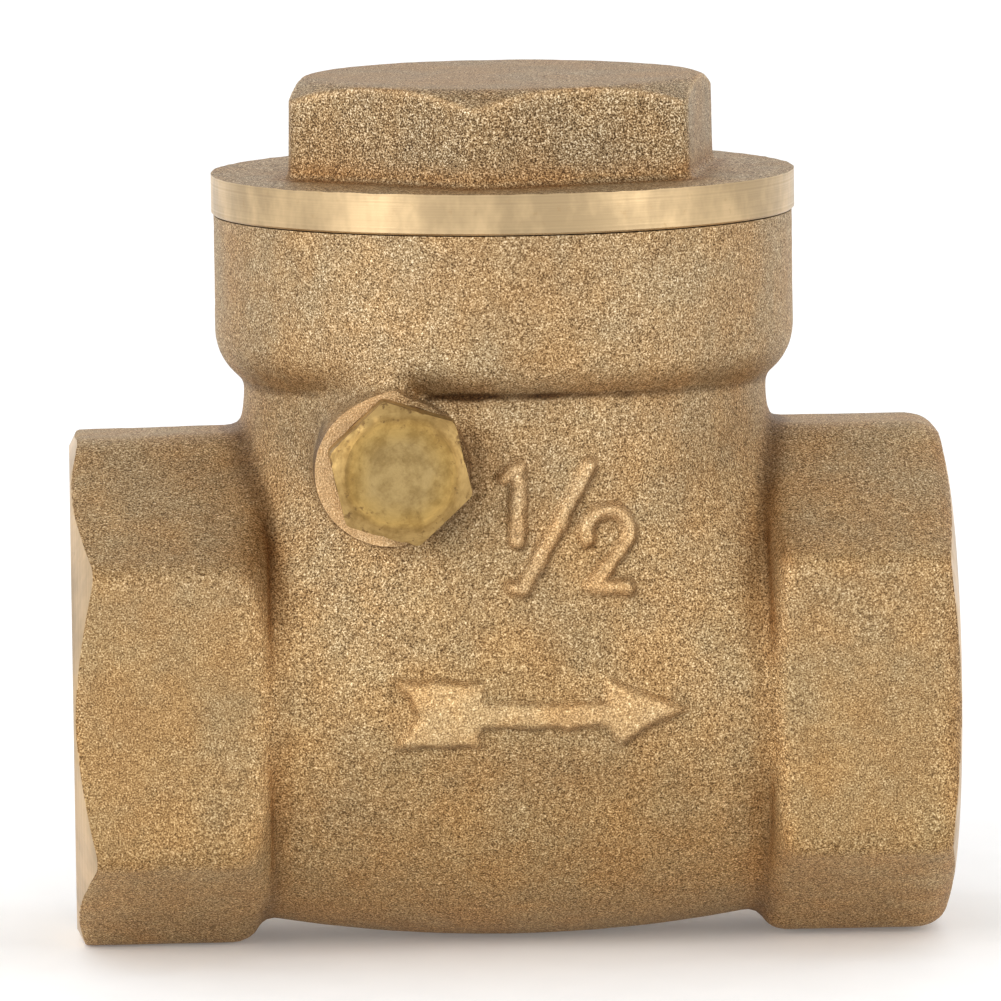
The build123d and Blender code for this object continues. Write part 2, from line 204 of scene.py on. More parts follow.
def casting(p, bosses=True):
    """The valve body as it leaves the mould, before any machining."""
    x, y, z = p[..., 0], p[..., 1], p[..., 2] - FLOW_Z
    fillet = 0.65 + 0.4 * np.clip((13.0 - z) / 8, 0, 1)     # wider lower down
    body = soft_min(trunk(p), ends(p), fillet)
    if bosses:
        boss = soft_max(boss_side(p), np.abs(y) - BOSS_FACE - BOSS_SPARE, rounding=0.45)
        # The fillet spreads above the boss, on its inlet side.
        spread = np.clip((p[..., 2] - BOSS_Z - 0.5) / 2.5, 0, 1) * np.clip(-5.5 - x, 0, 1)
        body = soft_min(body, boss, fillet=0.5 + 1.6 * spread)
    surplus = np.maximum(np.abs(x) - END_X - CAST_SPARE, p[..., 2] - COLLAR_TOP - CAST_SPARE)
    return np.maximum(body, surplus)


def collar_crease(p):
    """Distance from the line where the collar's underside meets the neck."""
    front = np.minimum(p[..., 1] ** 2 / NECK_R**2, 1)
    radial = np.hypot(p[..., 0], p[..., 1])
    return np.hypot(radial - NECK_R, p[..., 2] - UNDERCUT_Z - UNDERCUT_RISE * front)


def chamber(p):
    """The cast room inside, with the seat standing into it."""
    x, y, z = p[..., 0], p[..., 1], p[..., 2] - FLOW_Z
    upright = np.hypot(x, y) - CHAMBER_R
    upright = soft_max(upright, -z, rounding=0.5)
    flow_r = np.hypot(y, z)
    length = np.abs(x - CHAMBER_X) - CHAMBER_HALF
    lower = soft_max(flow_r - CHAMBER_BARREL_R, length, rounding=0.8)
    room = soft_min(upright, lower, fillet=1.0)
    seat_cone = SEAT_CONE[0] * (flow_r - SEAT_LIP_R) + SEAT_CONE[1] * (x - SEAT_X)
    seat = soft_max(seat_cone, x - SEAT_X - 0.4, rounding=0.3)
    room = soft_max(room, -seat, rounding=0.5)
    return soft_max(room, p[..., 2] - COLLAR_LEDGE - 1, rounding=0.2)


def cap_casting(p):
    """The bonnet's cast flange and hexagon, larger than finished where it is machined."""
    x, y, z = p[..., 0], p[..., 1], p[..., 2]
    radial = np.hypot(x, y)
    head = None
    for i in range(3):
        turn = CAP_TURN + i * pi / 3
        side = np.abs(x * cos(turn) + y * sin(turn)) - CAP_FLATS / 2
        side = side + CAP_DRAFT * (z - CAP_FLATS_Z)
        head = side if head is None else soft_max(head, side, rounding=0.55)
    above = z - CAP_TOP + CROWN_DROP
    crown = SIN_30 * (radial - CROWN_R) + COS_30 * above
    head = soft_max(head, soft_max(above, crown, rounding=0.3), rounding=0.15)
    flange = soft_max(radial - RIM_R - CAST_SPARE, z - RIM_TOP, rounding=0.3)
    solid = soft_min(head, flange, fillet=0.5)
    return soft_max(solid, CAP_BOTTOM - CAST_SPARE - z, rounding=0.3)


# ---- raised marks on the front of the body ----
def segment_gap(u, v, a, b):
    """Distance from points (u, v) to the line from a to b."""
    du, dv = b[0] - a[0], b[1] - a[1]
    t = np.clip(((u - a[0]) * du + (v - a[1]) * dv) / (du * du + dv * dv), 0, 1)
    return np.hypot(u - a[0] - t * du, v - a[1] - t * dv)


def stroke_gap(u, v, points):
    """Distance to a run of lines."""
    return np.min([segment_gap(u, v, a, b) for a, b in zip(points, points[1:])], axis=0)


def outline_gap(u, v, points):
    """Distance to a closed outline, negative inside it."""
    closed = points + points[:1]
    gap = stroke_gap(u, v, closed)
    inside = np.zeros(np.shape(u), bool)
    for a, b in zip(closed, closed[1:]):
        crosses = (a[1] > v) != (b[1] > v)
        level = b[1] - a[1] or 1e-9
        inside ^= crosses & (u < a[0] + (v - a[1]) / level * (b[0] - a[0]))
    return np.where(inside, -gap, gap)


def arc(centre, radius, start, end, steps):
    """Points along an arc, by its angles in degrees."""
    angles = np.radians(np.linspace(start, end, steps))
    return [(centre[0] + radius * cos(a), centre[1] + radius * sin(a)) for a in angles]


NUMERAL_ONE = [(-0.72, 12.9), (-0.02, 13.4), (-0.1, 9.5)]
SLASH = [(3.85, 13.45), (0.2, 6.9), (-0.35, 6.95)]
NUMERAL_TWO = arc((4.75, 9.8), 1.2, 195, -30, 14) + [(3.95, 6.95), (5.75, 6.75)]
ARROW = [
    (-5.45, 0.2), (-6.75, 2.05), (-2.0, 1.95), (-2.0, 0.85), (4.55, 0.75), (4.7, 2.0),
    (8.95, 0.2), (5.3, -1.5), (4.7, -0.6), (-2.1, -0.5), (-2.2, -1.5), (-6.7, -1.6),
]
MARKS_LOW, MARKS_HIGH = np.array([-8.5, -16, 10.5]), np.array([10.5, -11, 29.5])


def mark_gap(p):
    """Distance from the edge of the raised marks, seen from the front."""
    u, v = p[..., 0], p[..., 2] - FLOW_Z
    strokes = np.min([stroke_gap(u, v, run) for run in (NUMERAL_ONE, SLASH, NUMERAL_TWO)], axis=0)
    uneven = 0.12 * lattice_noise(p, 0.7, 55)
    return np.minimum(strokes - STROKE_HALF, outline_gap(u, v, ARROW) * 0.9) + uneven


def relief_height(p):
    """How far the nominal size and the flow arrow stand off the front of the casting."""
    rise = np.clip(0.45 - mark_gap(p) / 0.6, 0, 1)
    front = np.clip((-11 - p[..., 1]) / 0.5, 0, 1)
    return RELIEF * rise * rise * (3 - 2 * rise) * front


# ---- meshes from fields ----
def surface_net(field, low, high, step):
    """Quads on field = 0, with one point in each cell that the surface crosses."""
    counts = [int((b - a) / step) + 2 for a, b in zip(low, high)]
    axes = [a + step * np.arange(n) for a, n in zip(low, counts)]
    grid = np.stack(np.meshgrid(*axes, indexing="ij"), axis=-1).astype(np.float32)
    value = field(grid)
    inside = value < 0
    cells = np.array(counts) - 1
    number = np.full(cells + 2, -1, int)
    total, hits = np.zeros((*(cells + 2), 3)), np.zeros(cells + 2)
    crossings = []
    for axis in range(3):
        first = [slice(None)] * 3
        second = [slice(None)] * 3
        first[axis], second[axis] = slice(None, -1), slice(1, None)
        first, second = tuple(first), tuple(second)
        edges = np.argwhere(inside[first] != inside[second])
        start = value[first][tuple(edges.T)]
        stop = value[second][tuple(edges.T)]
        place = edges.astype(float)
        place[:, axis] += start / (start - stop)
        unit = np.eye(3, dtype=int)
        j, k = unit[(axis + 1) % 3], unit[(axis + 2) % 3]
        around = [edges, edges - j, edges - j - k, edges - k]
        for cell in around:
            spot = tuple(cell.T + 1)
            np.add.at(total, spot, place)
            np.add.at(hits, spot, 1)
        crossings.append((around, start < 0))
    used = hits > 0
    number[used] = np.arange(used.sum())
    points = np.array(low) + step * total[used] / hits[used][:, None]
    quads = []
    for around, outward in crossings:
        loop = np.stack([number[tuple(cell.T + 1)] for cell in around], axis=1)
        quads.append(np.where(outward[:, None], loop, loop[:, ::-1]))
    return points, np.concatenate(quads)


def slope_of(field, points, reach=0.02):
    """The field's value and its gradient at each point."""
    slope = np.empty_like(points)
    for axis in range(3):
        offset = np.zeros(3)
        offset[axis] = reach
        slope[:, axis] = (field(points + offset) - field(points - offset)) / (2 * reach)
    return field(points), slope


def settle(field, points, rounds=4):
    """Move points onto the field's surface, and give the surface normals there."""
    for _ in range(rounds):
        value, slope = slope_of(field, points)
        points = points - slope * (value / np.maximum((slope * slope).sum(1), 0.3))[:, None]
    slope = slope_of(field, points)[1]
    return points, slope / np.linalg.norm(slope, axis=1)[:, None]


def read_points(mesh):
    """A mesh's vertices, in millimetres."""
    points = np.empty(len(mesh.vertices) * 3, np.float32)
    mesh.vertices.foreach_get("co", points)
    return points.reshape(-1, 3).astype(float) / MM


def write_points(mesh, points):
    """Put a mesh's vertices at points given in millimetres."""
    mesh.vertices.foreach_set("co", (points * MM).astype(np.float32).ravel())
    mesh.update()


def new_piece(name, points, faces):
    """A mesh object from points in millimetres."""
    mesh = bpy.data.meshes.new(name)
    faces = faces.tolist() if isinstance(faces, np.ndarray) else faces
    mesh.from_pydata((np.asarray(points) * MM).tolist(), [], faces)
    mesh.update()
    piece = bpy.data.objects.new(name, mesh)
    bpy.context.scene.collection.objects.link(piece)
    return piece


# ---- turned shapes ----
def lathe(name, rows, segments, place):
    """A closed surface turned from rows of (along, radius); either may change with the angle.

    The first and last rows lie on the axis. place turns (along, radius, angle) into a point.
    """
    angles = np.linspace(0, tau, segments, endpoint=False)
    rings = []
    for along, radius in rows[1:-1]:
        along = along(angles) if callable(along) else np.full(segments, float(along))
        radius = radius(angles) if callable(radius) else np.full(segments, float(radius))
        rings.append(place(along, radius, angles))
    start = place(np.array([float(rows[0][0])]), np.zeros(1), np.zeros(1))
    end = place(np.array([float(rows[-1][0])]), np.zeros(1), np.zeros(1))
    points = np.concatenate([start, *rings, end])
    last = len(points) - 1
    following = np.roll(np.arange(segments), -1)
    here = np.arange(segments)
    faces = [(0, 1 + b, 1 + a) for a, b in zip(here, following)]
    for i in range(len(rings) - 1):
        near, far = 1 + i * segments, 1 + (i + 1) * segments
        faces += [(near + a, near + b, far + b, far + a) for a, b in zip(here, following)]
    near = 1 + (len(rings) - 1) * segments
    faces += [(near + a, near + b, last) for a, b in zip(here, following)]
    piece = new_piece(name, points, faces)
    work = bmesh.new()
    work.from_mesh(piece.data)
    bmesh.ops.recalc_face_normals(work, faces=work.faces)
    work.to_mesh(piece.data)
    work.free()
    return piece


def about_flow(side):
    """Place turned points about the flow axis, counted from the middle towards one end."""
    def place(along, radius, angle):
        across, up = radius * np.cos(angle), FLOW_Z + radius * np.sin(angle)
        return np.stack([side * along, across, up], axis=1)
    return place


def about_bonnet(along, radius, angle):
    """Place turned points about the bonnet's axis."""
    return np.stack([radius * np.cos(angle), radius * np.sin(angle), along], axis=1)


def thread_rows(start, end, inner, outer, pitch, fade_start, fade_end, per_turn=12):
    """Rows along a thread from start to end; it fades out over the given lengths."""
    count = int(abs(end - start) / pitch * per_turn)
    rows = []
    for along in np.linspace(start, end, count):
        depth = np.clip(abs(along - start) / max(fade_start, 1e-3), 0, 1)
        depth *= np.clip(abs(end - along) / max(fade_end, 1e-3), 0, 1)

        def radius(angle, along=along, depth=depth):
            wave = 0.5 + 0.5 * np.cos(tau * along / pitch - angle)
            wave = np.clip(1.25 * wave - 0.125, 0, 1)   # flattens the crests and roots a little
            return inner + (outer - inner) * wave * depth
        rows.append((along, radius))
    return rows


def cut(piece, cutter):
    """Take the cutter's solid out of the piece."""
    step = piece.modifiers.new("cut", "BOOLEAN")
    step.operation = "DIFFERENCE"
    step.object = cutter
    step.solver = "MANIFOLD"
    bpy.context.view_layer.update()
    graph = bpy.context.evaluated_depsgraph_get()
    made = bpy.data.meshes.new_from_object(piece.evaluated_get(graph))
    piece.modifiers.clear()
    old = piece.data
    piece.data = made
    bpy.data.meshes.remove(old)
    bpy.data.objects.remove(cutter)


def refine(piece, chosen, cuts):
    """Finer faces where chosen, a test on the middles of the faces, says so."""
    work = bmesh.new()
    work.from_mesh(piece.data)
    faces = list(work.faces)
    middles = np.array([face.calc_center_median() for face in faces]) / MM
    edges = {edge for face, wanted in zip(faces, chosen(middles)) if wanted for edge in face.edges}
    bmesh.ops.subdivide_edges(work, edges=list(edges), cuts=cuts, use_grid_fill=True)
    work.to_mesh(piece.data)
    work.free()


def near_marks(p):
    """The places by the edges of the raised marks, which need finer faces."""
    near = ((p > MARKS_LOW) & (p < MARKS_HIGH)).all(axis=1)
    near[near] = np.abs(mark_gap(p[near])) < 0.75
    return near


def near_creases(p):
    """The places by the collar's crease and the bosses' sides, which need finer faces."""
    round_boss = (np.abs(boss_side(p)) < 0.4) & (np.abs(p[:, 1]) > 11)
    return (collar_crease(p) < 0.5) | round_boss


def near_crown(p):
    """The places by the edge of the cap's crown, which need finer faces."""
    return (p[:, 2] > CAP_TOP - 1.5) & (np.hypot(p[:, 0], p[:, 1]) > 10.3)


def waviness(points, seed, rim=0.0):
    """The small unevenness of a sand casting: nearly all inwards, 0.02 mm outwards at most."""
    broad = lattice_noise(points, 5.5, seed) * 0.025
    middle = lattice_noise(points, 1.6, seed + 1) * 0.010
    fine = lattice_noise(points, 0.6, seed + 2) * (0.012 + rim)
    return broad + middle + fine - 0.03 - rim


def cast_piece(name, field, low, high, step, seed, finer=(), raised=None, rim=None):
    """A cast surface with its unevenness and what is raised on it; finer gives tests and cuts."""
    piece = new_piece(name, *surface_net(field, low, high, step))
    for chosen, cuts in finer:
        refine(piece, chosen, cuts)
    points, normals = settle(field, read_points(piece.data))
    lift = waviness(points, seed, rim(points) if rim else 0.0)
    if raised:
        lift = lift + raised(points)
    write_points(piece.data, points + normals * lift[:, None])
    return piece


# ---- the body ----
def mouth_rows(bore_end, side):
    """A port's thread and countersink, out to the cone that trims the hexagon's end."""
    start_r, slope = CHAMFER[side]
    outer_r, beyond, sink = 20, END_X + 4, 0.8
    cone_end = END_X - slope * (outer_r - start_r)
    rows = [(bore_end, PORT_MINOR_R)]
    threads = thread_rows(
        bore_end + 0.4, END_X - 0.01, PORT_MINOR_R, PORT_MAJOR_R, PORT_PITCH,
        fade_start=2.0, fade_end=0.0, per_turn=14,
    )
    for along, radius in threads:
        cone = PORT_MINOR_R + (PORT_MOUTH_R - PORT_MINOR_R) * (along - END_X + sink) / sink

        def mouth(angle, radius=radius, cone=cone):
            return np.maximum(radius(angle), cone)
        rows.append((along, mouth))
    return rows + [
        (END_X, PORT_MOUTH_R),
        (END_X, start_r),
        (cone_end, outer_r),
        (beyond, outer_r),
        (beyond, 0),
    ]


def about_pin(side):
    """Place turned points about the hinge pin's axis, counted outwards from the middle."""
    def place(along, radius, angle):
        wide, up = PIN_X + radius * np.cos(angle), PIN_Z + radius * np.sin(angle)
        return np.stack([wide, side * along, up], axis=1)
    return place


def machine_body(body):
    """Every cut that a machine makes in the casting, and the cored room inside it."""
    room_low, room_high = (-12.6, -12.8, 2.5), (12.6, 12.8, 36)
    cut(body, cast_piece("room", chamber, room_low, room_high, step=0.55, seed=40))
    bore_end = END_X - PORT_DEPTH
    outlet = [(10.2, 0), (10.2, OUTLET_R), (bore_end, OUTLET_R)]
    inlet = [
        (-SEAT_X - 1.2, 0),
        (-SEAT_X - 1.2, SEAT_FACE_R),
        (-SEAT_X, SEAT_FACE_R),
        (-SEAT_X, SEAT_BORE_R + 0.2),
        (-SEAT_X + 0.2, SEAT_BORE_R),
        (bore_end, SEAT_BORE_R),
    ]
    for side, inner in ((INLET, inlet), (OUTLET, outlet)):
        cut(body, lathe("port", inner + mouth_rows(bore_end, side), 96, about_flow(side)))
    threads = thread_rows(
        COLLAR_LEDGE + 0.5, GASKET_FLOOR - 0.3, COLLAR_BORE_R, COLLAR_ROOT_R, BONNET_PITCH,
        fade_start=1.0, fade_end=0.7,
    )
    collar = [
        (COLLAR_LEDGE, 0),
        (COLLAR_LEDGE, COLLAR_BORE_R - 0.2),
        (COLLAR_LEDGE + 0.2, COLLAR_BORE_R),
        *threads,
        (GASKET_FLOOR, COLLAR_BORE_R),
        (GASKET_FLOOR, GASKET_RECESS_R),
        (COLLAR_TOP, GASKET_RECESS_R),
        (COLLAR_TOP, 19),
        (COLLAR_TOP + 4, 19),
        (COLLAR_TOP + 4, 0),
    ]
    cut(body, lathe("bore", collar, 128, about_bonnet))
    inside, outside, recess = 6, 18, BOSS_FACE - SEAL_DEPTH
    hole = [
        (inside, 0),
        (inside, PLUG_HOLE_R),
        (recess, PLUG_HOLE_R),
        (recess, SEAL_RECESS_R),
        (BOSS_FACE, SEAL_RECESS_R),
        (BOSS_FACE, SPOT_FACE_R),
        (outside, SPOT_FACE_R),
        (outside, 0),
    ]
    for side in (-1, 1):
        cut(body, lathe("hole", hole, 64, about_pin(side)))


def finish_faces(piece, machined, finishes):
    """Give each face its material, smooth the surface, and keep the machined edges sharp."""
    mesh = piece.data
    mesh.materials.clear()
    for finish in finishes:
        mesh.materials.append(finish)
    middles = np.empty(len(mesh.polygons) * 3, np.float32)
    mesh.polygons.foreach_get("center", middles)
    chosen = machined(middles.reshape(-1, 3).astype(float) / MM)
    mesh.polygons.foreach_set("material_index", chosen.astype(np.int32))
    mesh.polygons.foreach_set("use_smooth", np.ones(len(mesh.polygons), bool))
    mesh.set_sharp_from_angle(angle=radians(40))
    mesh.update()


def store(piece, name, values):
    """Keep a value for each point of a piece, for its material to read."""
    marks = piece.data.attributes.new(name, "FLOAT", "POINT")
    marks.data.foreach_set("value", np.asarray(values, np.float32))


def enclosure_shade(points, field):
    """How enclosed each point of a casting is, for the painted shade, tinted browner, in its
    creases.
    """
    slope = slope_of(field, points, 0.05)[1]
    normals = slope / np.maximum(np.linalg.norm(slope, axis=1), 1e-6)[:, None]
    total = np.zeros(len(points))
    for reach in (0.5, 1.1, 2.2):
        ahead = field(points + normals * reach) - field(points)
        total += np.clip(1 - ahead / reach, 0, 1) / 3
    return total


def body_crevice_shade(p):
    """How dark the painted shade in the sharpest creases is, from 0 to 1.

    It is painted under the collar, deepest in front, round the bosses, below and to the right of
    the marks as a painted shadow, and where the ends meet the barrel; the bosses' faces are darker
    on their outlet side.
    """
    # Painted shade under the collar, deepest in front.
    deep = np.interp(p[:, 0], [-9.5, -8, -7, -5, 3, 9], [0.35, 0.05, 0.8, 1, 0.8, 0.35])
    deep = np.where(p[:, 1] < 0, deep, 0.35)
    gap = collar_crease(p) + 0.1 * lattice_noise(p, 0.9, 31)
    collar = deep * np.exp(-((gap / 0.28) ** 2))
    # Painted shade round the bosses' sides.
    width = 0.2 + 0.7 * np.clip((p[:, 0] - BOSS_X - 1.5) / 2, 0, 1)
    strength = np.where(p[:, 0] > BOSS_X, 0.42, 0.8)
    boss = strength * np.exp(-(((boss_side(p) - 0.12) / width) ** 2))
    brow = BOSS_Z + 2.9     # above this the boss runs into the collar
    boss = boss * np.clip((brow - p[:, 2]) / 1.2, 0, 1)
    boss = boss * ((np.abs(p[:, 1]) > 11) & (np.abs(p[:, 1]) < BOSS_FACE - 0.1))
    # The bosses' faces are darker on their outlet side.
    face = 0.45 * on_boss(p) * (1 - boss_light(p)) * (p[:, 2] < brow)
    # Painted shadow below and to the right of the marks.
    marks = np.clip(relief_height(p + np.array([-0.22, 0, 0.22])) - relief_height(p), 0, 1)
    # Painted shade where the ends meet the trunk.
    joint = 0.6 * np.exp(-(((np.abs(trunk(p)) + np.abs(ends(p))) / 0.6) ** 2))
    joint = joint * np.clip((np.abs(p[:, 2] - FLOW_Z) - 2) / 4, 0, 1)
    return np.max([collar, boss, face, 0.9 * marks, joint], axis=0)


def shoulder_highlight(p):
    """1 along the inner edges of the ends' flats, where a painted highlight lightens them."""
    inner = -inner_end(p)
    on_flat = (np.abs(ends(p)) < 0.1) * (np.abs(p[:, 1]) > 12.5)
    return np.exp(-(((inner - 0.3) / 0.4) ** 2)) * on_flat


def on_boss(p):
    """Whether a point is on a boss's filed face, under the plug's head."""
    pin_r = np.hypot(p[:, 0] - PIN_X, p[:, 2] - PIN_Z)
    return (np.abs(np.abs(p[:, 1]) - BOSS_FACE) < 0.02) & (pin_r < 4.8) & (pin_r > 3.4)


def boss_light(p):
    """How much lighter a boss's face is made: fully on the inlet side, none on the outlet side."""
    return np.clip((PIN_X + 0.5 - p[:, 0]) / 1.5, 0, 1)


def body_worn(p):
    """1 on the hexagons' front and rear flats, where the cast skin is rubbed smoother."""
    on_end = np.abs(p[:, 0]) > 13.5
    return np.clip((np.abs(p[:, 1]) - END_FLATS / 2 + 0.16) / 0.1, 0, 1) * on_end


def body_machined(p):
    """1 for the faces that a tool has cut, 0 for those left as cast."""
    flow_r = np.hypot(p[:, 1], p[:, 2] - FLOW_Z)
    inlet, outlet = (np.maximum(flow_r - start_r, 0) * slope for start_r, slope in CHAMFER.values())
    cone = np.abs(p[:, 0]) - END_X + np.where(p[:, 0] < 0, inlet, outlet)
    faced = (np.abs(cone) < 0.02) | (p[:, 2] > COLLAR_TOP - 0.01)
    cast = (casting(p) > -0.2) | (np.abs(chamber(p)) < 0.16) | on_boss(p)
    return np.where(cast & ~faced, 0, 1)


# ---- materials ----
class Finish:
    """A material being built from nodes."""

    def __init__(self, name):
        self.material = bpy.data.materials.new(name)
        self.material.use_nodes = True
        self.tree = self.material.node_tree
        self.surface = self.tree.nodes["Principled BSDF"]
        self.place = self.add("ShaderNodeTexCoord").outputs["Object"]

    def add(self, kind, settings=None, **values):
        """One node; a value is a number, a colour or another node's socket."""
        made = self.tree.nodes.new(kind)
        for key, value in (settings or {}).items():
            setattr(made, key, value)
        for key, value in values.items():
            self.set(made, key.replace("_", " "), value)
        return made

    def set(self, target, socket, value):
        """Give one of a node's inputs a value, or link another node's socket to it."""
        found = target.inputs[socket]
        if isinstance(value, bpy.types.NodeSocket):
            self.tree.links.new(value, found)
        else:
            found.default_value = value

    def noise(self, scale, detail=2.0, roughness=0.5, place=None):
        """Noise whose features are about 1/scale metres."""
        made = self.add(
            "ShaderNodeTexNoise", Vector=place or self.place,
            Scale=scale, Detail=detail, Roughness=roughness,
        )
        return made.outputs["Fac"]

    def attribute(self, name):
        """A value that store() kept for each point of the piece."""
        return self.add("ShaderNodeAttribute", {"attribute_name": name}).outputs["Fac"]

    def split(self):
        """The place's three coordinates."""
        return self.add("ShaderNodeSeparateXYZ", Vector=self.place).outputs

    def ramp(self, value, stops):
        """Colour or level by value: stops are (position, colour)."""
        made = self.add("ShaderNodeValToRGB", Fac=value)
        while len(made.color_ramp.elements) < len(stops):
            made.color_ramp.elements.new(0.5)
        for element, (position, colour) in zip(made.color_ramp.elements, stops):
            element.position = position
            element.color = (*colour, 1) if isinstance(colour, tuple) else (colour,) * 3 + (1,)
        return made.outputs["Color"]

    def math(self, operation, a, b=0.5, c=0.5):
        """One sum on numbers or sockets."""
        made = self.tree.nodes.new("ShaderNodeMath")
        made.operation = operation
        for i, value in enumerate((a, b, c)):
            if isinstance(value, bpy.types.NodeSocket):
                self.tree.links.new(value, made.inputs[i])
            else:
                made.inputs[i].default_value = value
        return made.outputs[0]

    def mix(self, amount, a, b, blend="MIX"):
        """Two colours mixed: none of b at amount 0, all of it at 1."""
        made = self.tree.nodes.new("ShaderNodeMix")
        made.data_type, made.blend_type = "RGBA", blend
        for i, value in ((0, amount), (6, a), (7, b)):
            if isinstance(value, bpy.types.NodeSocket):
                self.tree.links.new(value, made.inputs[i])
            else:
                made.inputs[i].default_value = (*value, 1) if isinstance(value, tuple) else value
        return made.outputs[2]

    def times(self, a, b):
        return self.math("MULTIPLY", a, b)

    def plus(self, a, b):
        return self.math("ADD", a, b)

    def tinted(self, colour, by):
        """A colour multiplied by another, channel by channel."""
        return self.mix(1.0, colour, by, "MULTIPLY")

    def bump(self, height, strength, distance, normal=None):
        """A normal with fine relief, on top of another if one is given."""
        made = self.add("ShaderNodeBump", Height=height, Strength=strength, Distance=distance)
        if normal:
            self.set(made, "Normal", normal)
        return made.outputs["Normal"]

    def finish(self, colour, metallic, roughness, normal=None, **values):
        """Set the surface, and give the finished material."""
        self.set(self.surface, "Base Color", colour)
        self.set(self.surface, "Metallic", metallic)
        self.set(self.surface, "Roughness", roughness)
        if normal:
            self.set(self.surface, "Normal", normal)
        for key, value in values.items():
            self.set(self.surface, key.replace("_", " "), value)
        return self.material


def cast_finish(name, marked=True, tone=1.0, spread=1.0):
    """Blasted cast brass: a speckle of bright and dark grains, with painted shade tinted browner in
    the creases, painted highlights on raised places and a painted reflection that greys it higher
    up.

    tone darkens it, and a spread below 1 makes the speckle stronger.
    """
    m = Finish(name)
    grain = m.noise(11000, 1.2, 0.6)
    clump = m.noise(4200, 1.0, 0.5)
    grains = m.plus(m.times(grain, 0.80), m.times(clump, 0.20))
    colour = m.ramp(grains, [
        (0.51 - 0.21 * spread, (0.080, 0.042, 0.016)),
        (0.51 - 0.10 * spread, (0.215, 0.125, 0.048)),
        (0.51, (0.390, 0.250, 0.110)),
        (0.51 + 0.09 * spread, (0.570, 0.395, 0.195)),
        (0.51 + 0.21 * spread, (0.960, 0.750, 0.450)),
    ])
    if marked:
        # raised lightens: a painted highlight, partly wear, on the marks and the ends' inner edges,
        # the bosses' lighter faces, and the crown's rubbed edge.
        worn, raised = m.attribute("worn"), m.attribute("raised")
        smooth = m.plus(m.times(worn, 0.14), m.times(raised, 0.60))
        colour = m.mix(smooth, colour, (0.365, 0.240, 0.115))
        colour = m.mix(raised, colour, m.tinted(colour, (1.82, 1.82, 1.84)))
    patches = m.ramp(m.noise(420, 3, 0.6), [(0.34, (0.95, 0.92, 0.88)), (0.66, (1.04, 1.04, 1.02))])
    colour = m.tinted(colour, patches)
    hues = m.ramp(m.noise(260, 3, 0.6), [(0.36, (1.05, 0.97, 0.86)), (0.64, (0.97, 1.0, 1.03))])
    colour = m.tinted(colour, hues)
    # Painted reflection: the colour turns greyer and bluer higher up.
    height = m.plus(m.split()["Z"], m.times(m.noise(150, 2, 0.5), 0.016))
    painted_reflection_grey = m.ramp(m.times(height, 20.0), [(0.25, 0.0), (0.85, 1.0)])
    colour = m.mix(painted_reflection_grey, colour, m.tinted(colour, (1.02, 1.08, 1.28)))
    if marked:
        # Painted shade, tinted browner, in the creases.
        depth = m.ramp(m.attribute("hollow"), [(0.12, 0.0), (0.60, 0.9)])
        colour = m.mix(depth, colour, m.tinted(colour, (0.76, 0.56, 0.34)))
        # Painted shade and shadow in the sharpest creases and below the marks.
        crevice = m.times(m.attribute("crevice"), m.plus(grain, 0.6))
        depth = m.ramp(crevice, [(0.10, 0.0), (0.80, 1.0)])
        colour = m.mix(depth, colour, m.tinted(colour, (0.20, 0.14, 0.09)))
    if tone != 1:
        colour = m.tinted(colour, (tone, tone, tone))
    rough = m.ramp(grain, [(0.3, 0.66), (0.75, 0.42)])
    normal = m.bump(m.noise(2300, 3, 0.6), 0.35, 0.00006)
    normal = m.bump(grain, 0.8, 0.00007, normal)
    return m.finish(colour, 0.82, rough, normal)


def shade(tint, *by):
    """A colour times one number, or times one number for each channel."""
    return tuple(c * d for c, d in zip(tint, by * 3 if len(by) == 1 else by))


def turned_finish(name, tint, ring_scale, across):
    """Machined brass with fine tool lines; across gives the distance that the lines count."""
    m = Finish(name)
    parts = m.split()
    lines = m.add(
        "ShaderNodeTexNoise", {"noise_dimensions": "1D"},
        W=across(m, parts), Scale=ring_scale, Detail=3.0, Roughness=0.7,
    ).outputs["Fac"]
    flat = m.add("ShaderNodeCombineXYZ", X=parts["X"], Y=parts["Y"], Z=m.times(parts["Z"], 0.6))
    cloud = m.noise(300, 4, 0.65, flat.outputs["Vector"])
    stain = m.ramp(m.noise(1500, 4, 0.7), [(0.60, 0.0), (0.74, 0.55)])
    colour = m.ramp(cloud, [(0.40, shade(tint, 0.74)), (0.60, shade(tint, 1.20))])
    colour = m.mix(stain, colour, shade(tint, 0.66, 0.56, 0.42))
    colour = m.mix(0.3, colour, m.ramp(lines, [(0.35, shade(tint, 0.8)), (0.65, shade(tint, 1.1))]))
    rough = m.ramp(lines, [(0.3, 0.42), (0.7, 0.28)])
    normal = m.bump(lines, 0.22, 0.00002)
    return m.finish(colour, 0.92, rough, normal)


def bonnet_height(_, parts):
    """The height, for lines that run round the bonnet."""
    return parts["Z"]


def flow_distance(m, parts):
    """Distance from the flow axis plus the place along it, for end faces and bores alike."""
    high = m.math("SUBTRACT", parts["Z"], FLOW_Z * MM)
    square = m.plus(m.times(high, high), m.times(parts["Y"], parts["Y"]))
    return m.plus(m.math("SQRT", square), parts["X"])


